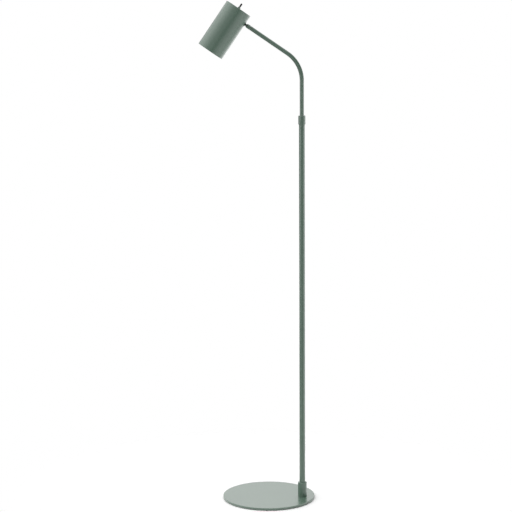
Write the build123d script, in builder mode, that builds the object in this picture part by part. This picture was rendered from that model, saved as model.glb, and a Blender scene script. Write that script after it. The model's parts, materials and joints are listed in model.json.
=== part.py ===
from build123d import *

import math
import os

# Adjustable floor lamp, in millimetres. A round steel plate stands on the floor and carries a
# thin pole near its edge. A bent tube slides and turns in the pole under a clamp nut, and its
# upper end carries a can shade on a swivel and tilt knuckle. The origin is the centre of the
# plate on the floor, +Z is up, the pole stands at +X and a little towards -Y, and the arm
# reaches from it in the direction of -X.

os.makedirs("parts", exist_ok=True)

# ---- Fits, all radial ----
RUN = 0.05           # running or sliding fit of a shaft in its hole
SEAT = 0.02          # fixed seat
BALL_PLAY = 0.1      # ball in its cup

# ---- Base ----
PLATE_D = 271.5
PLATE_EDGE = 0.8
PLATE_T = 6
PAD_D = 22
PAD_T = 1.5
PAD_RING_R = 118
PAD_COUNT = 6
POLE_X = 99.5
POLE_Y = -18

# ---- Pole and its foot ----
POLE_R = 8.5
POLE_BORE_R = 7.5
SOCKET_R = 13
SOCKET_H = 44
SOCKET_EDGE = 2.2
SOCKET_FLOOR = 4
PLUG_H = 20
BOLT_R = 4
BOLT_HEAD_R = 8
SINK_PLAY = 0.1      # radial room round the bolt's countersunk head
BOLT_LENGTH = 23.5
BOLT_HOLE_R = 4.25
OUTLET_Z = 40
OUTLET_R = 3.3
GROMMET_R = 4.5
GROMMET_RIM_R = 6.5
GROMMET_RIM_T = 1.5

# ---- Clamp at the top of the pole ----
CLAMP_Z = 1110.4
CLAMP_TOP = 1136.3
CLAMP_R = 10.3
POLE_TOP = CLAMP_Z + 9.2
FERRULE_Z = CLAMP_Z + 1.5
FERRULE_R = 9.4
FERRULE_TOP = CLAMP_Z + 21.1
COLLET_R = 8
COLLET_Z = POLE_TOP + 1.5
COLLET_TOP = FERRULE_TOP + 0.7
COLLET_SLOT = 1.2
NUT_HOLE_R = 6.35    # round the sliding tube

# ---- Sliding, bent upper tube ----
TUBE_R = 6
TUBE_BORE_R = 5.1
TUBE_LOW = 845
BUSH_Z = 850
BUSH_H = 20
BEND_R = 94
CORNER_Z = 1285.2
ARM_RISE = 34.4      # degrees above level
ARM_TO_SHADE = 195.7  # from the bend's corner to the shade's wall, along the arm

# ---- Knuckle between arm and shade ----
BALL_R = 5.2
BALL_TO_SHADE = 7.4
FLANGE_R = 6         # of the stem, against the shade's wall
FLANGE_T = 0.8
CUP_R = 6.2
CUP_FRONT = 4.2
CUP_BACK = 9.9
SLOT_W = 6.6
SLOT_FLOOR = 0.6
STEM_R = 3
STEM_END = 32        # from the shade's axis
WIRE_BORE_R = 2.1
SPIGOT_R = 3.5
PIVOT_R = 1.5
STOP_HALF = 7        # degrees, half the width of a stop tab
SPIGOT_HEAD = 0.2 - CUP_BACK   # along the arm from the ball's centre, as the next three
ARM_END = -CUP_BACK - 0.3
SPIGOT_TAIL = -29
BUSH_BACK = -26.2
WASHER_R = 6.5
STEM_NUT_Z = 10.9    # its face on the washer, from the ball's centre
STEM_NUT_H = 3.5
STEM_NUT_FLATS = 10

# ---- Shade, measured along its axis from the knuckle's level ----
SHADE_R = 40
SHADE_WALL = 0.8
SHADE_TOP_T = 1.2
SHADE_TOP = 27.3
SHADE_MOUTH = -118.5
HEM_T = 1.6
HEM_H = 4

# ---- Lamp holder and bulb, on the shade's axis ----
BRACKET_T = 1.5
BRACKET_W = 16
BRACKET_LEG_Y = 18.5
TAB_LOW = -3
NIPPLE_R = 5
HOLDER_R = 13.5
HOLDER_MOUTH = -45
GLOBE_R = 22.5
GLOBE_Z = -80.5
GLASS_NECK_R = 7.5
GLASS_FLARE_R = 14
GLASS_T = 0.8
GLASS_TOP = -46
THREAD_R = 6.95
THREAD_ROOT_R = 6.2
THREAD_PITCH = 2.8

# ---- Toggle switch in the middle of the shade's top ----
BUSHING_R = 3
BUSHING_TOP = SHADE_TOP + 4.2
CASE_DEPTH = 13.4
LEVER_PIVOT = SHADE_TOP + 2
LEVER_LENGTH = 14.7
LEVER_R = 2.6
LEVER_LEAN = 13      # degrees each side of upright
LEVER_BALL_R = 1.9
CASE_W = 8
CASE_L = 13
CASE_FLANGE_T = 0.6
LUG_GAP = 4.7
LUG_LENGTH = 4
SWITCH_NUT_R = 4
LEAD_R = 0.8

# ---- Directions and planes ----
rise = math.radians(ARM_RISE)
arm_dir = Vector(-math.cos(rise), 0, math.sin(rise))
shade_up = Vector(math.sin(rise), 0, math.cos(rise))
corner = Vector(POLE_X, POLE_Y, CORNER_Z)
ball_centre = corner + arm_dir * (ARM_TO_SHADE - BALL_TO_SHADE)
shade_centre = corner + arm_dir * (ARM_TO_SHADE + SHADE_R)

plate_top = PAD_T + PLATE_T
pole_low = plate_top + SOCKET_FLOOR
bracket_top = SHADE_TOP - SHADE_TOP_T
case_top = bracket_top - BRACKET_T
case_high = case_top - CASE_FLANGE_T
case_low = case_high - CASE_DEPTH

# Local Z runs along the arm, from the ball towards the shade.
knuckle = Plane(origin=ball_centre, x_dir=shade_up, z_dir=arm_dir)
# Local Z runs up the shade's axis, local X points back at the arm and local Y is +Y.
shade_plane = Plane(origin=shade_centre, x_dir=-arm_dir, z_dir=shade_up)


def pole_plane(z):
    """Level plane across the pole at height z."""
    return Plane(origin=(POLE_X, POLE_Y, z))


def outlet_plane(y):
    """Upright plane across the cable outlet, at y from the pole's axis; its Z is +Y."""
    return Plane(origin=(POLE_X, POLE_Y + y, OUTLET_Z), z_dir=(0, 1, 0))


def lengthwise(plane):
    """Plane holding another's X and Z as its own X and Y, for profiles that are revolved."""
    return Plane(origin=plane.origin, x_dir=plane.x_dir, z_dir=-plane.y_dir)


def turning_axis(plane):
    """Axis along a plane's Z through its origin."""
    return Axis(plane.origin, plane.z_dir)


def save(piece, name):
    """Label a finished piece and write it as its own file."""
    piece.part.label = name
    export_step(piece.part, f"parts/{name}.step")


def sleeve(name, plane, outer_r, inner_r, height):
    """Plain round sleeve, ring or washer standing on a plane."""
    with BuildPart() as piece:
        with BuildSketch(plane):
            Circle(outer_r)
            Circle(inner_r, mode=Mode.SUBTRACT)
        extrude(amount=height)
    save(piece, name)


def hex_nut(name, plane, across_flats, hole_r, height):
    """Hexagon nut standing on a plane, its corners chamfered."""
    with BuildPart() as piece:
        with BuildSketch(plane):
            RegularPolygon(radius=across_flats / 2, side_count=6, major_radius=False)
            Circle(hole_r, mode=Mode.SUBTRACT)
        extrude(amount=height)
        with BuildSketch(plane):
            Circle(across_flats / 2 * 1.06)
        extrude(amount=height, mode=Mode.INTERSECT)
    save(piece, name)


def stop_tab(plane, inner_r, outer_r, angle):
    """Small tab on a plane, a sector of a ring centred on an angle, as a sketch."""
    half = math.radians(STOP_HALF)
    middle = math.radians(angle)
    corners = []
    for radius, turn in ((inner_r, -half), (outer_r, -half), (outer_r, half), (inner_r, half)):
        corners.append((radius * math.cos(middle + turn), radius * math.sin(middle + turn)))
    with BuildSketch(plane) as tab:
        Polygon(*corners, align=None)
    return tab.sketch


# ---- Base ----
with BuildPart() as base_plate:
    with BuildSketch(Plane.XY.offset(PAD_T)):
        Circle(PLATE_D / 2)
    extrude(amount=PLATE_T)
    fillet(base_plate.faces().sort_by(Axis.Z)[-1].edges(), radius=PLATE_EDGE)
    chamfer(base_plate.faces().sort_by(Axis.Z)[0].edges(), length=0.5)
    with Locations(Plane(origin=(POLE_X, POLE_Y, PAD_T), z_dir=(0, 0, -1))):
        CounterSinkHole(BOLT_HOLE_R, BOLT_HEAD_R + SINK_PLAY, depth=PLATE_T, counter_sink_angle=90)
save(base_plate, "base_plate")

with BuildPart() as base_pads:
    with BuildSketch():
        Circle(PAD_D / 2)
        with PolarLocations(PAD_RING_R, PAD_COUNT, start_angle=30):
            Circle(PAD_D / 2)
    extrude(amount=PAD_T)
    chamfer(base_pads.edges().filter_by(GeomType.CIRCLE).group_by(Axis.Z)[0], length=0.3)
save(base_pads, "base_pads")

with BuildPart() as foot_socket:
    with BuildSketch(pole_plane(plate_top)):
        Circle(SOCKET_R)
    extrude(amount=SOCKET_H)
    fillet(foot_socket.faces().sort_by(Axis.Z)[-1].edges(), radius=SOCKET_EDGE)
    with BuildSketch(pole_plane(pole_low)):
        Circle(POLE_R + RUN)
    extrude(amount=SOCKET_H, mode=Mode.SUBTRACT)
    with BuildSketch(pole_plane(plate_top)):
        Circle(BOLT_HOLE_R)
    extrude(amount=SOCKET_FLOOR, mode=Mode.SUBTRACT)
    with BuildSketch(outlet_plane(0)):
        Circle(GROMMET_R + RUN)
    extrude(amount=SOCKET_R + 1, mode=Mode.SUBTRACT)
save(foot_socket, "foot_socket")

sleeve("pole_plug", pole_plane(pole_low), POLE_BORE_R - RUN, BOLT_R + RUN, PLUG_H)

with BuildPart() as base_bolt:
    with BuildSketch(lengthwise(pole_plane(PAD_T))):
        with BuildLine():
            Polyline(
                (0, 0),
                (BOLT_HEAD_R, 0),
                (BOLT_R, BOLT_HEAD_R - BOLT_R),
                (BOLT_R, BOLT_LENGTH - 1),
                (BOLT_R - 1, BOLT_LENGTH),
                (0, BOLT_LENGTH),
                close=True,
            )
        make_face()
    revolve(axis=turning_axis(pole_plane(PAD_T)))
    with BuildSketch(pole_plane(PAD_T)):
        RegularPolygon(radius=2.5, side_count=6, major_radius=False)
    extrude(amount=3, mode=Mode.SUBTRACT)
save(base_bolt, "base_bolt")

# ---- Pole ----
with BuildPart() as lower_pole:
    with BuildSketch(pole_plane(pole_low)):
        Circle(POLE_R)
        Circle(POLE_BORE_R, mode=Mode.SUBTRACT)
    extrude(amount=POLE_TOP - pole_low)
    with BuildSketch(outlet_plane(0)):
        Circle(GROMMET_R + RUN)
    extrude(amount=POLE_R + 1, mode=Mode.SUBTRACT)
save(lower_pole, "lower_pole")

with BuildPart() as cable_grommet:
    with BuildSketch(outlet_plane(0)):
        Circle(GROMMET_RIM_R)
    extrude(amount=SOCKET_R + GROMMET_RIM_T)
    fillet(cable_grommet.faces().sort_by(Axis.Y)[-1].edges(), radius=1)
    with BuildSketch(pole_plane(OUTLET_Z - GROMMET_RIM_R)):
        Circle(SOCKET_R + SEAT)
    extrude(amount=2 * GROMMET_RIM_R, mode=Mode.SUBTRACT)
    with BuildSketch(outlet_plane(POLE_BORE_R - 0.5)):
        Circle(GROMMET_R)
    extrude(amount=SOCKET_R - POLE_BORE_R + 1)
    with BuildSketch(outlet_plane(0)):
        Circle(OUTLET_R)
    extrude(amount=2 * SOCKET_R, mode=Mode.SUBTRACT)
save(cable_grommet, "cable_grommet")

# ---- Clamp: a ferrule on the pole, a slotted collet in it and a nut screwed over both ----
with BuildPart() as clamp_ferrule:
    with BuildSketch(lengthwise(pole_plane(0))):
        with BuildLine():
            Polyline(
                (POLE_R + RUN, FERRULE_Z),
                (FERRULE_R - 0.5, FERRULE_Z),
                (FERRULE_R, FERRULE_Z + 0.5),
                (FERRULE_R, FERRULE_TOP - 0.5),
                (FERRULE_R - 0.5, FERRULE_TOP),
                (COLLET_R + RUN, FERRULE_TOP),
                (COLLET_R + RUN, COLLET_Z),
                (TUBE_R + 0.4, COLLET_Z),
                (TUBE_R + 0.4, POLE_TOP),
                (POLE_R + RUN, POLE_TOP),
                close=True,
            )
        make_face()
    revolve(axis=turning_axis(pole_plane(0)))
save(clamp_ferrule, "clamp_ferrule")

with BuildPart() as clamp_collet:
    with BuildSketch(pole_plane(COLLET_Z)):
        Circle(COLLET_R)
        Circle(TUBE_R + RUN, mode=Mode.SUBTRACT)
    extrude(amount=COLLET_TOP - COLLET_Z)
    chamfer(clamp_collet.edges().group_by(Axis.Z)[-1].sort_by(SortBy.LENGTH)[-1], length=0.6)
    with BuildSketch(pole_plane(COLLET_Z + 4)):
        with PolarLocations(COLLET_R - 1, 3, start_angle=30):
            Rectangle(4, COLLET_SLOT)
    extrude(amount=COLLET_TOP - COLLET_Z, mode=Mode.SUBTRACT)
save(clamp_collet, "clamp_collet")

with BuildPart() as clamp_nut:
    with BuildSketch(lengthwise(pole_plane(0))):
        with BuildLine():
            Polyline(
                (FERRULE_R + RUN, CLAMP_Z),
                (CLAMP_R - 0.6, CLAMP_Z),
                (CLAMP_R, CLAMP_Z + 1),
                (CLAMP_R, CLAMP_TOP - 1.2),
                (CLAMP_R - 1.2, CLAMP_TOP),
                (NUT_HOLE_R + 0.35, CLAMP_TOP),
                (NUT_HOLE_R, CLAMP_TOP - 0.35),
                (NUT_HOLE_R, COLLET_TOP + 1.2),
                (COLLET_R + 0.2, COLLET_TOP + 0.3),
                (FERRULE_R + RUN, COLLET_TOP + 0.3),
                close=True,
            )
        make_face()
    revolve(axis=turning_axis(pole_plane(0)))
save(clamp_nut, "clamp_nut")

# ---- Sliding tube: it turns in a guide bush that slides in the pole ----
with BuildPart() as guide_bush:
    with BuildSketch(pole_plane(BUSH_Z)):
        Circle(POLE_BORE_R - 0.07)
        Circle(TUBE_R + RUN, mode=Mode.SUBTRACT)
    extrude(amount=BUSH_H)
    extrude(stop_tab(pole_plane(BUSH_Z + BUSH_H), TUBE_R + 0.1, POLE_BORE_R - 0.15, 180), amount=1.6)
save(guide_bush, "guide_bush")

with BuildPart() as bush_clips:
    for ring_z in (BUSH_Z - 1.6, BUSH_Z + BUSH_H + 1.9):
        with BuildSketch(pole_plane(ring_z)):
            Circle(POLE_BORE_R - 0.35)
            Circle(TUBE_R + SEAT, mode=Mode.SUBTRACT)
        extrude(amount=1.3)
    upper_tab = stop_tab(pole_plane(BUSH_Z + BUSH_H + 0.3), TUBE_R + 0.1, POLE_BORE_R - 0.4, 0)
    extrude(upper_tab, amount=1.6)
save(bush_clips, "bush_clips")

bend_run = BEND_R * math.tan(math.radians(90 - ARM_RISE) / 2)
tube_end = ARM_TO_SHADE - BALL_TO_SHADE + ARM_END
with BuildPart() as upper_tube:
    with BuildLine(Plane(origin=(0, POLE_Y, 0), x_dir=(1, 0, 0), z_dir=(0, -1, 0))) as tube_path:
        upright = Line((POLE_X, TUBE_LOW), (POLE_X, CORNER_Z - bend_run))
        bend = JernArc(upright @ 1, (0, 1), BEND_R, 90 - ARM_RISE)
        PolarLine(bend @ 1, tube_end - bend_run, 180 - ARM_RISE)
    with BuildSketch(pole_plane(TUBE_LOW)):
        Circle(TUBE_R)
        Circle(TUBE_BORE_R, mode=Mode.SUBTRACT)
    sweep(path=tube_path.wire())
save(upper_tube, "upper_tube")

# ---- Knuckle: a spigot turns in the arm's end, and a slotted cup grips the ball ----
with BuildPart() as arm_bush:
    with BuildSketch(knuckle.offset(BUSH_BACK)):
        Circle(TUBE_BORE_R - SEAT)
        Circle(SPIGOT_R + RUN, mode=Mode.SUBTRACT)
    extrude(amount=ARM_END - BUSH_BACK)
    rear_tab = stop_tab(knuckle.offset(BUSH_BACK - 1), SPIGOT_R + 0.15, TUBE_BORE_R - 0.3, 180)
    extrude(rear_tab, amount=1)
save(arm_bush, "arm_bush")

with BuildPart() as joint_spigot:
    with BuildSketch(knuckle.offset(SPIGOT_TAIL)):
        Circle(SPIGOT_R)
    extrude(amount=SPIGOT_HEAD - SPIGOT_TAIL)
    with BuildSketch(knuckle.offset(SPIGOT_HEAD)):
        Circle(BALL_R + 0.1)
    extrude(amount=-SPIGOT_HEAD - 3.5)
    with Locations(knuckle):
        Sphere(BALL_R + BALL_PLAY, mode=Mode.SUBTRACT)
    with BuildSketch(knuckle.offset(SPIGOT_TAIL)):
        Circle(WIRE_BORE_R + 0.2)
    extrude(amount=-SPIGOT_TAIL, mode=Mode.SUBTRACT)
save(joint_spigot, "joint_spigot")

with BuildPart() as spigot_clip:
    with BuildSketch(knuckle.offset(BUSH_BACK - 2.5)):
        Circle(TUBE_BORE_R - 0.35)
        Circle(SPIGOT_R + SEAT, mode=Mode.SUBTRACT)
    extrude(amount=1.2)
    clip_tab = stop_tab(knuckle.offset(BUSH_BACK - 1.4), SPIGOT_R + 0.15, TUBE_BORE_R - 0.4, 0)
    extrude(clip_tab, amount=1.1)
save(spigot_clip, "spigot_clip")

front_r = math.sqrt(CUP_R ** 2 - CUP_FRONT ** 2)
with BuildPart() as joint_cup:
    with BuildSketch(lengthwise(knuckle)):
        with BuildLine():
            Polyline(
                (0, CUP_FRONT),
                (0, -CUP_BACK),
                (CUP_R - 0.5, -CUP_BACK),
                (CUP_R, 0.5 - CUP_BACK),
                (CUP_R, 0),
            )
            CenterArc((0, 0), CUP_R, 0, math.degrees(math.asin(CUP_FRONT / CUP_R)))
            Line((front_r, CUP_FRONT), (0, CUP_FRONT))
        make_face()
    revolve(axis=turning_axis(knuckle))
    with Locations(knuckle):
        Sphere(BALL_R + BALL_PLAY, mode=Mode.SUBTRACT)
    with BuildSketch(knuckle):
        Circle(BALL_R + 0.1 + RUN)
    extrude(amount=-CUP_BACK, mode=Mode.SUBTRACT)
    with BuildSketch(knuckle.offset(SLOT_FLOOR)):
        Rectangle(2 * CUP_R + 1, SLOT_W)
    extrude(amount=CUP_R, mode=Mode.SUBTRACT)
    with BuildSketch(Plane(origin=ball_centre, x_dir=arm_dir, z_dir=(0, 1, 0))):
        Circle(PIVOT_R + RUN)
    extrude(amount=CUP_R + 1, both=True, mode=Mode.SUBTRACT)
save(joint_cup, "joint_cup")

with BuildPart() as pivot_screws:
    for side in (-1, 1):
        tip = ball_centre + Vector(0, side * (BALL_R - 1), 0)
        with BuildSketch(Plane(origin=tip, x_dir=arm_dir, z_dir=(0, side, 0))):
            Circle(PIVOT_R)
        extrude(amount=CUP_R - BALL_R + 0.8)
        head_plane = Plane(origin=tip, x_dir=arm_dir, z_dir=(0, side, 0)).offset(CUP_R - BALL_R + 0.3)
        with BuildSketch(head_plane):
            Rectangle(2 * PIVOT_R + 1, 0.5)
        extrude(amount=1, mode=Mode.SUBTRACT)
save(pivot_screws, "pivot_screws")

# ---- Ball stem, fastened through the shade's wall ----
with BuildPart() as ball_stem:
    with BuildSketch(knuckle.offset(BALL_TO_SHADE - FLANGE_T)):
        Circle(FLANGE_R)
    extrude(amount=2 * FLANGE_T)
    with BuildSketch(shade_plane.offset(-2 * FLANGE_R)):
        Circle(SHADE_R + SEAT)
    extrude(amount=4 * FLANGE_R, mode=Mode.SUBTRACT)
    with Locations(knuckle):
        Sphere(BALL_R)
    with BuildSketch(knuckle):
        Circle(STEM_R)
    extrude(amount=BALL_TO_SHADE + SHADE_R - STEM_END)
    with BuildSketch(knuckle.offset(-BALL_R)):
        Circle(WIRE_BORE_R)
    extrude(amount=2 * SHADE_R, mode=Mode.SUBTRACT)
    for side in (-1, 1):
        dimple = ball_centre + Vector(0, side * (BALL_R - 1.2), 0)
        with BuildSketch(Plane(origin=dimple, x_dir=arm_dir, z_dir=(0, side, 0))):
            Circle(PIVOT_R + 0.1)
        extrude(amount=BALL_R, mode=Mode.SUBTRACT)
save(ball_stem, "ball_stem")

with BuildPart() as saddle_washer:
    with BuildSketch(knuckle.offset(BALL_TO_SHADE)):
        Circle(WASHER_R)
        Circle(STEM_R + RUN, mode=Mode.SUBTRACT)
    extrude(amount=STEM_NUT_Z - BALL_TO_SHADE)
    with BuildSketch(shade_plane.offset(-10)):
        Circle(SHADE_R - SHADE_WALL - SEAT)
    extrude(amount=20, mode=Mode.INTERSECT)
save(saddle_washer, "saddle_washer")

hex_nut("stem_nut", knuckle.offset(STEM_NUT_Z), STEM_NUT_FLATS, STEM_R + RUN, STEM_NUT_H)

# ---- Shade ----
with BuildPart() as shade:
    with BuildSketch(shade_plane.offset(SHADE_MOUTH)):
        Circle(SHADE_R)
    extrude(amount=SHADE_TOP - SHADE_MOUTH)
    fillet(shade.faces().sort_by(turning_axis(shade_plane))[-1].edges(), radius=1.6)
    with BuildSketch(shade_plane.offset(SHADE_MOUTH + HEM_H)):
        Circle(SHADE_R - SHADE_WALL)
    extrude(amount=SHADE_TOP - SHADE_TOP_T - SHADE_MOUTH - HEM_H, mode=Mode.SUBTRACT)
    with BuildSketch(shade_plane.offset(SHADE_MOUTH)):
        Circle(SHADE_R - HEM_T)
    extrude(amount=HEM_H, mode=Mode.SUBTRACT)
    with BuildSketch(knuckle):
        Circle(STEM_R + RUN)
    extrude(amount=BALL_TO_SHADE + 10, mode=Mode.SUBTRACT)
    with BuildSketch(shade_plane):
        Circle(BUSHING_R + RUN)
    extrude(amount=SHADE_TOP + 1, mode=Mode.SUBTRACT)
save(shade, "shade")

# ---- Bracket under the top: two tabs and a leg, bent from one strip ----
with BuildPart() as lamp_bracket:
    with BuildSketch(Plane(origin=shade_centre, x_dir=(0, 1, 0), z_dir=-arm_dir)):
        with BuildLine():
            Polyline(
                (-7, bracket_top),
                (BRACKET_LEG_Y, bracket_top),
                (BRACKET_LEG_Y, TAB_LOW),
                (-9, TAB_LOW),
                (-9, TAB_LOW + BRACKET_T),
                (BRACKET_LEG_Y - BRACKET_T, TAB_LOW + BRACKET_T),
                (BRACKET_LEG_Y - BRACKET_T, case_top),
                (-7, case_top),
                close=True,
            )
        make_face()
    extrude(amount=BRACKET_W / 2, both=True)
    across = lamp_bracket.edges().filter_by(Axis(shade_centre, arm_dir))
    leg_outer = POLE_Y + BRACKET_LEG_Y
    leg_inner = leg_outer - BRACKET_T
    outer_bends = [e for e in across if abs(e.center().Y - leg_outer) < 0.01]
    inner_bends = [e for e in across if abs(e.center().Y - leg_inner) < 0.01]
    fillet(outer_bends, radius=2.4)
    fillet(inner_bends, radius=0.9)
    with BuildSketch(shade_plane.offset(case_top)):
        Circle(BUSHING_R + RUN)
    extrude(amount=BRACKET_T, mode=Mode.SUBTRACT)
    with BuildSketch(shade_plane.offset(TAB_LOW)):
        Circle(NIPPLE_R + RUN)
    extrude(amount=BRACKET_T, mode=Mode.SUBTRACT)
save(lamp_bracket, "lamp_bracket")

# ---- Switch ----
with BuildPart() as switch_bushing:
    with BuildSketch(shade_plane.offset(case_high)):
        Rectangle(CASE_W, CASE_L)
    extrude(amount=CASE_FLANGE_T)
    with BuildSketch(shade_plane.offset(case_top)):
        Circle(BUSHING_R)
    extrude(amount=BUSHING_TOP - case_top)
    with BuildSketch(shade_plane.offset(case_high)):
        Circle(LEVER_BALL_R + 0.1)
    extrude(amount=BUSHING_TOP, mode=Mode.SUBTRACT)
save(switch_bushing, "switch_bushing")

with BuildPart() as switch_case:
    with BuildSketch(shade_plane.offset(case_high)):
        RectangleRounded(CASE_W, CASE_L, 0.8)
    extrude(amount=-CASE_DEPTH)
save(switch_case, "switch_case")

with BuildPart() as switch_lugs:
    with BuildSketch(shade_plane.offset(case_low)):
        with GridLocations(0, LUG_GAP, 1, 3):
            Rectangle(2, 0.8)
    extrude(amount=-LUG_LENGTH)
save(switch_lugs, "switch_lugs")

with BuildPart() as switch_nut:
    with BuildSketch(shade_plane.offset(SHADE_TOP)):
        Circle(SWITCH_NUT_R)
        Circle(BUSHING_R + RUN, mode=Mode.SUBTRACT)
    extrude(amount=BUSHING_TOP - SHADE_TOP + 0.2)
    rim = switch_nut.edges().group_by(turning_axis(shade_plane))[-1].sort_by(SortBy.LENGTH)[-1]
    chamfer(rim, length=0.5)
save(switch_nut, "switch_nut")

lean = math.radians(LEVER_LEAN)
lever_dir = shade_up * math.cos(lean) + Vector(0, 1, 0) * math.sin(lean)
lever_plane = Plane(
    origin=shade_plane.offset(LEVER_PIVOT).origin, x_dir=-arm_dir, z_dir=lever_dir
)
with BuildPart() as switch_lever:
    with BuildSketch(lengthwise(lever_plane)):
        with BuildLine():
            Line((0, LEVER_LENGTH), (0, 0))
            Polyline((0, 0), (1, 0), (1.15, 2.8), (2.3, 3.6), (LEVER_R, LEVER_LENGTH - LEVER_R))
            CenterArc((0, LEVER_LENGTH - LEVER_R), LEVER_R, 0, 90)
        make_face()
    revolve(axis=turning_axis(lever_plane))
    with Locations(lever_plane):
        Sphere(LEVER_BALL_R)
save(switch_lever, "switch_lever")

# ---- Lamp holder ----
sleeve("holder_nipple", shade_plane.offset(TAB_LOW - 6), NIPPLE_R, 3.4, 12.5)
hex_nut("holder_nut", shade_plane.offset(TAB_LOW + BRACKET_T), 14, NIPPLE_R + RUN, 3)

with BuildPart() as holder_body:
    with BuildSketch(lengthwise(shade_plane)):
        with BuildLine():
            Polyline(
                (NIPPLE_R + RUN, TAB_LOW),
                (9, TAB_LOW),
                (HOLDER_R - 1.5, TAB_LOW - 8),
                (HOLDER_R, TAB_LOW - 12),
                (HOLDER_R, TAB_LOW - 26),
                (HOLDER_R - 0.8, TAB_LOW - 27),
                (HOLDER_R - 0.8, HOLDER_MOUTH + 1),
                (HOLDER_R - 1.8, HOLDER_MOUTH),
                (8.6, HOLDER_MOUTH),
                (8.6, -17),
                (3, -17),
                (3, TAB_LOW - 6.2),
                (NIPPLE_R + RUN, TAB_LOW - 6.2),
                close=True,
            )
        make_face()
    revolve(axis=turning_axis(shade_plane))
save(holder_body, "holder_body")

sleeve("holder_shell", shade_plane.offset(-41), 8.5, 7.5, 23)

with BuildPart() as holder_contact:
    with BuildSketch(shade_plane.offset(-20.4)):
        Circle(3)
    extrude(amount=0.7)
    with BuildSketch(shade_plane.offset(-19.7)):
        Circle(1.4)
    extrude(amount=6)
save(holder_contact, "holder_contact")

# ---- Bulb: opal glass on a small screw cap ----
def glass_region(inset):
    """Half outline of the glass, inset from its outer face, closed on the axis."""
    neck_r = GLASS_NECK_R - inset
    flare_r = GLASS_FLARE_R + inset
    globe_r = GLOBE_R - inset
    flare_x = neck_r + flare_r
    flare_z = GLOBE_Z + math.sqrt((globe_r + flare_r) ** 2 - flare_x ** 2)
    meet = math.degrees(math.atan2(flare_z - GLOBE_Z, flare_x))
    with BuildSketch(lengthwise(shade_plane)) as region:
        with BuildLine():
            Line((0, GLASS_TOP), (neck_r, GLASS_TOP))
            Line((neck_r, GLASS_TOP), (neck_r, flare_z))
            CenterArc((flare_x, flare_z), flare_r, 180, meet)
            CenterArc((0, GLOBE_Z), globe_r, meet, -90 - meet)
            Line((0, GLOBE_Z - globe_r), (0, GLASS_TOP))
        make_face()
    return region.sketch


with BuildPart() as bulb_glass:
    revolve(glass_region(0), axis=turning_axis(shade_plane))
    revolve(glass_region(GLASS_T), axis=turning_axis(shade_plane), mode=Mode.SUBTRACT)
save(bulb_glass, "bulb_glass")

cap_outline = [(0, GLASS_TOP), (GLASS_NECK_R, GLASS_TOP), (GLASS_NECK_R, GLASS_TOP + 2)]
thread_z = GLASS_TOP + 3
while thread_z < -27:
    cap_outline.append((THREAD_ROOT_R, thread_z))
    cap_outline.append((THREAD_R, thread_z + THREAD_PITCH / 2))
    thread_z += THREAD_PITCH
cap_outline += [(THREAD_ROOT_R, thread_z), (3, -22.3), (2.4, -20.6), (0, -20.6)]
with BuildPart() as bulb_cap:
    with BuildSketch(lengthwise(shade_plane)):
        with BuildLine():
            Polyline(*cap_outline, close=True)
        make_face()
    revolve(axis=turning_axis(shade_plane))
save(bulb_cap, "bulb_cap")

# ---- Lead from the switch down into the lamp holder ----
lead_top = shade_plane.from_local_coords(Vector(0, -LUG_GAP, case_low - LUG_LENGTH))
lead_points = [
    lead_top,
    lead_top - shade_up * 1.2,
    shade_plane.from_local_coords(Vector(0, -1, case_low - 5.7)),
    shade_plane.from_local_coords(Vector(0, -1, TAB_LOW - 6)),
]
with BuildPart() as switch_lead:
    with BuildLine() as lead_path:
        FilletPolyline(*lead_points, radius=1)
    with BuildSketch(Plane(origin=lead_top, z_dir=-shade_up)):
        Circle(LEAD_R)
    sweep(path=lead_path.wire())
save(switch_lead, "switch_lead")
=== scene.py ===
import json
import math

import bmesh
import bpy
from mathutils import Matrix, Vector


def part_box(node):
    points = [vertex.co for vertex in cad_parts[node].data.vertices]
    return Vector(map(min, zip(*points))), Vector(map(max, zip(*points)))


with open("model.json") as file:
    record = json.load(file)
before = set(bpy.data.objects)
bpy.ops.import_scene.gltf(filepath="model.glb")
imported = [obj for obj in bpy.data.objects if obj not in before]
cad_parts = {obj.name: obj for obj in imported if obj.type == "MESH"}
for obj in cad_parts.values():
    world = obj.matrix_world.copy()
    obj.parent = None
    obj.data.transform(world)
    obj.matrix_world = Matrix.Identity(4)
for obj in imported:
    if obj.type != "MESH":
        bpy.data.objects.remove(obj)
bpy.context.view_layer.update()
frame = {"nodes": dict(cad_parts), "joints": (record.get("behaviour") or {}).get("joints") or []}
scene = bpy.context.scene
scene.view_settings.view_transform = "Standard"

# ---- Lengths of the shade that its slanted box doesn't give, in metres from the ball's centre ----
BALL_TO_SHADE = 0.0074
SHADE_TOP = 0.0273
SHADE_MOUTH = -0.1185

# ---- Places worked out from the frame, in metres ----
JOINTS = {joint["name"]: joint for joint in frame["joints"]}
BALL = Vector(JOINTS["head_roll"]["pos_m"])
ARM_DIR = Vector(JOINTS["head_roll"]["axis"]).normalized()
SHADE_UP = Vector((ARM_DIR.z, 0, -ARM_DIR.x))
SHADE_R = (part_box("shade")[1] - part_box("shade")[0]).y / 2
SHADE_CENTRE = BALL + ARM_DIR * (BALL_TO_SHADE + SHADE_R)
CLAMP_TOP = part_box("clamp_nut")[1].z

# ---- Colours, linear ----
SAGE = (0.090, 0.156, 0.114)
SAGE_DEEP = (0.083, 0.146, 0.106)
RUBBED_SAGE = (0.17, 0.21, 0.185)
WHITE_ENAMEL = (0.74, 0.74, 0.71)
BLACK = (0.006, 0.006, 0.007)

# ---- Texture of the powder coat: cells per metre, and depths in metres ----
MOTTLING_SCALE = 9
FLOW_SCALE = 260
FLOW_DEPTH = 0.00002
PEEL_SCALE = 1100
PEEL_DEPTH = 0.000012
GRAIN_SCALE = 5200
GRAIN_DEPTH = 0.000002

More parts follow.
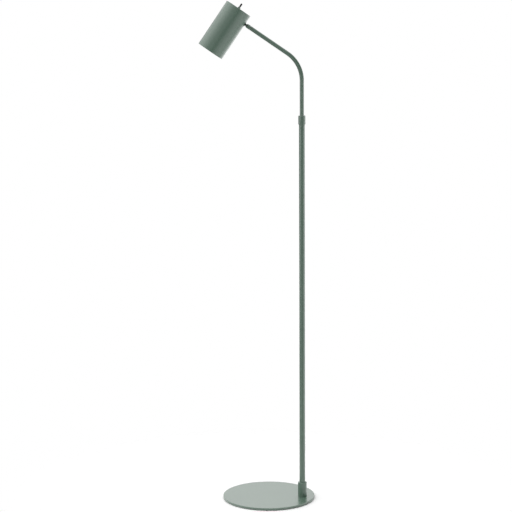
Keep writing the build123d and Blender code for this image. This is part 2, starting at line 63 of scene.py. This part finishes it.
# ---- Limits of the white enamel inside the shade, in metres from its walls ----
ENAMEL_INSET = 0.0004
TOP_INSET = 0.0008
MOUTH_INSET = 0.0002
ENAMEL_BLEND = 0.0002

# ---- Rubbed stretch of the sliding tube, in metres from the clamp's top ----
RUBBED_BELOW = 0.01
RUBBED_ABOVE = 0.03
RUBBED_FADE = 0.07


# ---- Shader helpers ----
def shader(name, colour, roughness, **sockets):
    """New material with one principled shader; returns its node tree and that shader."""
    material = bpy.data.materials.new(name)
    material.use_nodes = True
    tree = material.node_tree
    surface = tree.nodes["Principled BSDF"]
    surface.inputs["Base Color"].default_value = (*colour, 1)
    surface.inputs["Roughness"].default_value = roughness
    for socket, value in sockets.items():
        surface.inputs[socket.replace("_", " ")].default_value = value
    return material, tree, surface


def vector_maths(tree, operation, vector, output, fixed=None):
    """One step on a vector, with a fixed second vector where the step takes one."""
    node = tree.nodes.new("ShaderNodeVectorMath")
    node.operation = operation
    tree.links.new(vector, node.inputs[0])
    if fixed is not None:
        node.inputs[1].default_value = fixed
    return node.outputs[output]


def coordinates(tree, stretch=(1, 1, 1)):
    """Object coordinates, in metres, stretched per axis."""
    source = tree.nodes.new("ShaderNodeTexCoord")
    mapping = tree.nodes.new("ShaderNodeMapping")
    mapping.inputs["Scale"].default_value = stretch
    tree.links.new(source.outputs["Object"], mapping.inputs["Vector"])
    return mapping.outputs["Vector"]


def noise(tree, vector, scale, detail=2.0, roughness=0.5):
    """Noise with cells of about 1/scale metres."""
    node = tree.nodes.new("ShaderNodeTexNoise")
    node.inputs["Scale"].default_value = scale
    node.inputs["Detail"].default_value = detail
    node.inputs["Roughness"].default_value = roughness
    tree.links.new(vector, node.inputs["Vector"])
    return node.outputs["Fac"]


def spread(tree, value, low, high, to_low, to_high):
    """Value mapped from one range to another, and held inside it."""
    node = tree.nodes.new("ShaderNodeMapRange")
    for socket, number in zip(("From Min", "From Max", "To Min", "To Max"), (low, high, to_low, to_high)):
        node.inputs[socket].default_value = number
    tree.links.new(value, node.inputs["Value"])
    return node.outputs["Result"]


def maths(tree, operation, a, b):
    """One arithmetic step on two sockets or numbers."""
    node = tree.nodes.new("ShaderNodeMath")
    node.operation = operation
    for socket, value in zip(node.inputs, (a, b)):
        if isinstance(value, (int, float)):
            socket.default_value = value
        else:
            tree.links.new(value, socket)
    return node.outputs[0]


def blend_colour(tree, factor, first, second):
    """Colour between two, each a triple or a socket."""
    node = tree.nodes.new("ShaderNodeMix")
    node.data_type = "RGBA"
    tree.links.new(factor, node.inputs["Factor"])
    for socket, value in zip((node.inputs[6], node.inputs[7]), (first, second)):
        if isinstance(value, tuple):
            socket.default_value = (*value, 1)
        else:
            tree.links.new(value, socket)
    return node.outputs[2]


def relief(tree, surface, heights):
    """Chain of bumps, each (height socket, depth in metres)."""
    normal = None
    for height, depth in heights:
        node = tree.nodes.new("ShaderNodeBump")
        node.inputs["Strength"].default_value = 1.0
        node.inputs["Distance"].default_value = depth
        tree.links.new(height, node.inputs["Height"])
        if normal is not None:
            tree.links.new(normal, node.inputs["Normal"])
        normal = node.outputs["Normal"]
    tree.links.new(normal, surface.inputs["Normal"])


def axis_value(tree, vector, axis):
    """One coordinate of a vector."""
    node = tree.nodes.new("ShaderNodeSeparateXYZ")
    tree.links.new(vector, node.inputs["Vector"])
    return node.outputs[axis]


# ---- Materials ----
def powder_coat(name, roughness=0.38, film=0.23, **sockets):
    """Satin powder coat: slow mottling, flow, and the fine orange peel of the cured film."""
    material, tree, surface = shader(name, SAGE, roughness, Coat_Weight=1.0, Coat_Roughness=film, **sockets)
    place = coordinates(tree)
    mottling = noise(tree, place, MOTTLING_SCALE, 3)
    flow = noise(tree, place, FLOW_SCALE, 3)
    peel = noise(tree, place, PEEL_SCALE, 2)
    grain = noise(tree, place, GRAIN_SCALE, 1)
    colour = blend_colour(tree, spread(tree, mottling, 0.3, 0.7, 0, 1), SAGE_DEEP, SAGE)
    tree.links.new(colour, surface.inputs["Base Color"])
    by_flow = spread(tree, flow, 0.3, 0.7, -0.03, 0.03)
    by_grain = spread(tree, grain, 0.3, 0.7, -0.02, 0.02)
    uneven = maths(tree, "ADD", by_flow, by_grain)
    tree.links.new(maths(tree, "ADD", uneven, roughness), surface.inputs["Roughness"])
    relief(tree, surface, [(flow, FLOW_DEPTH), (peel, PEEL_DEPTH), (grain, GRAIN_DEPTH)])
    return material, tree, surface, colour, place


def shade_paint():
    """The coat outside, and white enamel inside the can, told apart by distance from its axis."""
    material, tree, surface, colour, place = powder_coat("shade_powder_coat")
    offset = vector_maths(tree, "SUBTRACT", place, "Vector", SHADE_CENTRE)
    height = vector_maths(tree, "DOT_PRODUCT", offset, "Value", SHADE_UP)
    length = vector_maths(tree, "LENGTH", offset, "Value")
    length_squared = maths(tree, "MULTIPLY", length, length)
    height_squared = maths(tree, "MULTIPLY", height, height)
    radius = maths(tree, "SQRT", maths(tree, "SUBTRACT", length_squared, height_squared), 0.0)
    wall = SHADE_R - ENAMEL_INSET
    top = SHADE_TOP - TOP_INSET
    mouth = SHADE_MOUTH + MOUTH_INSET
    inner = spread(tree, radius, wall - ENAMEL_BLEND, wall, 1, 0)
    below_top = spread(tree, height, top - ENAMEL_BLEND, top, 1, 0)
    above_mouth = spread(tree, height, mouth, mouth + ENAMEL_BLEND, 0, 1)
    inside = maths(tree, "MULTIPLY", inner, maths(tree, "MULTIPLY", below_top, above_mouth))
    tree.links.new(blend_colour(tree, inside, colour, WHITE_ENAMEL), surface.inputs["Base Color"])
    return material


def rubbed_tube():
    """The coat of the sliding tube, faintly polished in streaks where the collet grips it."""
    material, tree, surface, colour, place = powder_coat("tube_powder_coat")
    streaks = noise(tree, coordinates(tree, (1, 1, 0.02)), 1500, 3, 0.6)
    height = axis_value(tree, place, "Z")
    start = CLAMP_TOP - RUBBED_BELOW
    end = CLAMP_TOP + RUBBED_ABOVE
    above = spread(tree, height, start, start + 2 * RUBBED_BELOW, 0, 1)
    below = spread(tree, height, end, end + RUBBED_FADE, 1, 0)
    zone = maths(tree, "MULTIPLY", above, below)
    rubbed = maths(tree, "MULTIPLY", zone, spread(tree, streaks, 0.55, 0.7, 0, 0.35))
    tree.links.new(blend_colour(tree, rubbed, colour, RUBBED_SAGE), surface.inputs["Base Color"])
    return material


def moulded(name, colour, roughness, grain=1400, depth=0.00002, **sockets):
    """Moulded plastic or rubber with an even fine grain."""
    material, tree, surface = shader(name, colour, roughness, **sockets)
    place = coordinates(tree)
    fine = noise(tree, place, grain, 3)
    slow = noise(tree, place, 60, 2)
    darker = tuple(channel * 0.86 for channel in colour)
    tint = blend_colour(tree, spread(tree, slow, 0.3, 0.7, 0, 1), darker, colour)
    matt = spread(tree, fine, 0.3, 0.7, roughness - 0.05, roughness + 0.06)
    tree.links.new(tint, surface.inputs["Base Color"])
    tree.links.new(matt, surface.inputs["Roughness"])
    relief(tree, surface, [(fine, depth)])
    return material


def turned_metal(name, colour, roughness, stretch, **sockets):
    """Bare metal with fine tool lines along one direction and small stains."""
    material, tree, surface = shader(name, colour, roughness, Metallic=1.0, **sockets)
    lines = noise(tree, coordinates(tree, stretch), 2600, 3, 0.65)
    stains = noise(tree, coordinates(tree), 180, 4, 0.6)
    darker = tuple(channel * 0.72 for channel in colour)
    tint = blend_colour(tree, spread(tree, stains, 0.35, 0.7, 1, 0), darker, colour)
    matt = spread(tree, lines, 0.3, 0.7, roughness - 0.08, roughness + 0.12)
    tree.links.new(tint, surface.inputs["Base Color"])
    tree.links.new(matt, surface.inputs["Roughness"])
    relief(tree, surface, [(lines, 0.000012)])
    return material


def opal_glass():
    """Opal glass: milky and glossy, with a barely uneven wall."""
    material, tree, surface = shader(
        "opal_glass", (0.86, 0.86, 0.83), 0.12, Subsurface_Weight=0.35, Coat_Weight=0.6, Coat_Roughness=0.04
    )
    surface.inputs["Subsurface Radius"].default_value = (0.006, 0.005, 0.004)
    surface.inputs["Subsurface Scale"].default_value = 1.0
    place = coordinates(tree)
    wall = noise(tree, place, 45, 2)
    tint = blend_colour(tree, wall, (0.80, 0.80, 0.765), (0.88, 0.88, 0.86))
    tree.links.new(tint, surface.inputs["Base Color"])
    relief(tree, surface, [(wall, 0.00008)])
    return material


EVEN = (1, 1, 1)
coat = powder_coat("powder_coat")[0]
coat_base = powder_coat("base_powder_coat", 0.36, 0.26, Coat_IOR=1.68)[0]
coat_shade = shade_paint()
coat_tube = rubbed_tube()
zinc = turned_metal("zinc_plate", (0.62, 0.63, 0.64), 0.32, EVEN)
black_oxide = turned_metal("black_oxide", (0.020, 0.021, 0.022), 0.38, EVEN)
brass = turned_metal("brass", (0.78, 0.56, 0.24), 0.28, EVEN)
nickel = turned_metal("nickel", (0.68, 0.66, 0.62), 0.22, EVEN)
nylon = moulded("nylon", (0.74, 0.71, 0.63), 0.42)
black_plastic = moulded("black_plastic", (0.018, 0.018, 0.019), 0.45)
lever_black = moulded("lever_black", BLACK, 0.45, 900, 0.00001, Specular_IOR_Level=0.12)
holder_plastic = moulded("holder_plastic", (0.76, 0.755, 0.72), 0.35)
rubber = moulded("black_rubber", (0.020, 0.020, 0.021), 0.72, 1800, 0.00005)
pad_rubber = moulded("pad_rubber", (0.030, 0.030, 0.031), 0.85, 1300, 0.0001)
sheath = moulded("lead_sheath", (0.16, 0.155, 0.15), 0.5)
glass = opal_glass()

MATERIALS = {
    coat: ("foot_socket", "lower_pole", "clamp_ferrule", "clamp_nut", "joint_cup", "switch_nut"),
    coat_base: ("base_plate",),
    coat_shade: ("shade",),
    coat_tube: ("upper_tube",),
    zinc: (
        "base_bolt", "pole_plug", "bush_clips", "joint_spigot", "spigot_clip", "stem_nut",
        "lamp_bracket", "switch_bushing", "holder_nipple", "holder_nut",
    ),
    black_oxide: ("ball_stem", "pivot_screws"),
    brass: ("switch_lugs", "holder_shell", "holder_contact"),
    nickel: ("bulb_cap",),
    nylon: ("clamp_collet", "guide_bush", "arm_bush", "saddle_washer"),
    black_plastic: ("switch_case",),
    lever_black: ("switch_lever",),
    holder_plastic: ("holder_body",),
    rubber: ("cable_grommet",),
    pad_rubber: ("base_pads",),
    sheath: ("switch_lead",),
    glass: ("bulb_glass",),
}
for material, nodes in MATERIALS.items():
    for node in nodes:
        for slot in frame["nodes"][node].material_slots:
            slot.material = material

# ---- Floor: pale, and fading out into the white surroundings ----
FLOOR_R = 0.9
FADE_START = 0.2
FADE_END = 0.8


def floor_material():
    """Matt white, opaque round the foot and clear at the disc's rim."""
    material, tree, surface = shader("floor_pale", (0.93, 0.93, 0.93), 0.6)
    surface.inputs["Specular IOR Level"].default_value = 0.2
    clear = tree.nodes.new("ShaderNodeBsdfTransparent")
    mix = tree.nodes.new("ShaderNodeMixShader")
    length = vector_maths(tree, "LENGTH", coordinates(tree), "Value")
    tree.links.new(spread(tree, length, FADE_START, FADE_END, 0, 1), mix.inputs["Fac"])
    tree.links.new(surface.outputs["BSDF"], mix.inputs[1])
    tree.links.new(clear.outputs["BSDF"], mix.inputs[2])
    tree.links.new(mix.outputs["Shader"], tree.nodes["Material Output"].inputs["Surface"])
    return material


def disc(name, radius, material):
    """Flat round object at the origin."""
    mesh = bpy.data.meshes.new(name)
    shape = bmesh.new()
    bmesh.ops.create_circle(shape, cap_ends=True, segments=128, radius=radius)
    shape.to_mesh(mesh)
    shape.free()
    mesh.materials.append(material)
    item = bpy.data.objects.new(name, mesh)
    scene.collection.objects.link(item)
    return item


disc("floor", FLOOR_R, floor_material())

# ---- Light: a white studio, brighter at the sides and behind than where the camera stands ----
# Brightness around the horizon in steps of 30 degrees, from the back by the left, the front
# and the right to the back again: below the horizon, just below it, above it and high up.
# These rings and OVERHEAD were fitted by a separate program, and were not set by hand.
LOW_RING = (1.67, 1.73, 0.76, 0.0, 0.25, 1.0, 0.14, 0.94, 1.34, 1.1, 1.19, 1.39)
EDGE_RING = (0.34, 0.0, 0.41, 2.14, 3.4, 0.0, 0.22, 0.0, 2.02, 2.62, 1.82, 0.94)
LEVEL_RING = (0.58, 0.23, 0.0, 0.0, 0.0, 0.49, 0.97, 0.0, 0.0, 0.33, 0.33, 0.21)
HIGH_RING = (1.61, 1.25, 1.36, 2.06, 1.57, 1.16, 0.19, 0.26, 0.0, 0.26, 0.63, 0.76)
OVERHEAD = 1.66
EDGE_EDGES = (-0.155, -0.105)
LEVEL_EDGES = (-0.01, 0.06)
HIGH_EDGES = (0.2, 0.4)
OVERHEAD_EDGES = (0.65, 0.9)


def brightness_ring(tree, turn, values):
    """Brightness for a turn of 0 to 1 around the horizon."""
    ramp = tree.nodes.new("ShaderNodeValToRGB")
    stops = ramp.color_ramp.elements
    while len(stops) > 1:
        stops.remove(stops[0])
    for index, value in enumerate(values + values[:1]):
        place = index / len(values)
        stop = stops[0] if index == 0 else stops.new(place)
        stop.position = place
        stop.color = (value, value, value, 1)
    tree.links.new(turn, ramp.inputs["Fac"])
    return ramp.outputs["Color"]


def studio():
    """World that lights the lamp by the rings above, and shows plain white to the camera."""
    world = bpy.data.worlds.new("studio")
    scene.world = world
    world.use_nodes = True
    tree = world.node_tree
    around = tree.nodes.new("ShaderNodeTexCoord").outputs["Generated"]
    x, y, z = (axis_value(tree, around, axis) for axis in "XYZ")
    angle = maths(tree, "ARCTAN2", x, maths(tree, "MULTIPLY", y, -1.0))
    turn = maths(tree, "ADD", maths(tree, "DIVIDE", angle, 2 * math.pi), 0.5)
    light = brightness_ring(tree, turn, LOW_RING)
    for edges, values in ((EDGE_EDGES, EDGE_RING), (LEVEL_EDGES, LEVEL_RING), (HIGH_EDGES, HIGH_RING)):
        light = blend_colour(tree, spread(tree, z, *edges, 0, 1), light, brightness_ring(tree, turn, values))
    light = blend_colour(tree, spread(tree, z, *OVERHEAD_EDGES, 0, 1), light, (OVERHEAD,) * 3)
    seen_directly = tree.nodes.new("ShaderNodeLightPath").outputs["Is Camera Ray"]
    seen = blend_colour(tree, seen_directly, light, (1, 1, 1))
    tree.links.new(seen, tree.nodes["Background"].inputs["Color"])


studio()

# ---- Camera ----
CAMERA_PLACE = (-0.03445, -4.3787, 1.3460)
CAMERA_PITCH = 8.044
CAMERA_ROLL = -0.321
LENS = 106.45
camera_data = bpy.data.cameras.new("camera")
camera_data.lens = LENS
camera_data.sensor_width = 36
camera = bpy.data.objects.new("camera", camera_data)
pitched = Matrix.Rotation(math.radians(90 - CAMERA_PITCH), 4, "X")
rolled = Matrix.Rotation(math.radians(CAMERA_ROLL), 4, "Z")
camera.rotation_euler = (pitched @ rolled).to_euler()
camera.location = CAMERA_PLACE
scene.collection.objects.link(camera)
scene.camera = camera
